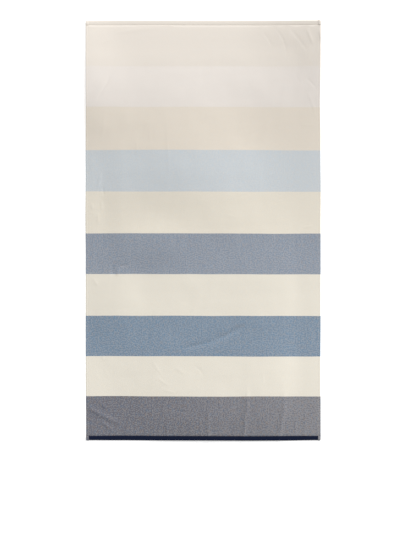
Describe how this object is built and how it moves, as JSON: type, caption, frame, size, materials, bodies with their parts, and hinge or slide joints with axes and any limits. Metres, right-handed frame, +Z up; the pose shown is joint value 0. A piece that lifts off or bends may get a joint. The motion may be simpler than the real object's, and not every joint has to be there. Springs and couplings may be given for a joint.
{
  "type": "bath towel",
  "caption": "Striped cotton bath towel lying flat and face up, with soft undulations, hems turned to the back along its sides and to the front at its ends.",
  "frame": {"origin": "middle of the towel's outline, on the surface that it lies on", "axes": "+X across the towel's width, along its stripes, +Y along its length to the pale end, +Z up from the surface, through the face of the cloth"},
  "size_m": [1.0024, 1.7898, 0.0242],
  "materials": {
    "cotton_cloth": "matt woven cotton, brushed a little, in broad cross stripes of beige, cream, pale blue, blue grey, denim blue and charcoal, with navy and beige end hems"
  },
  "bodies": {
    "root": {"towel": "cotton_cloth"}
  },
  "joints": []
}
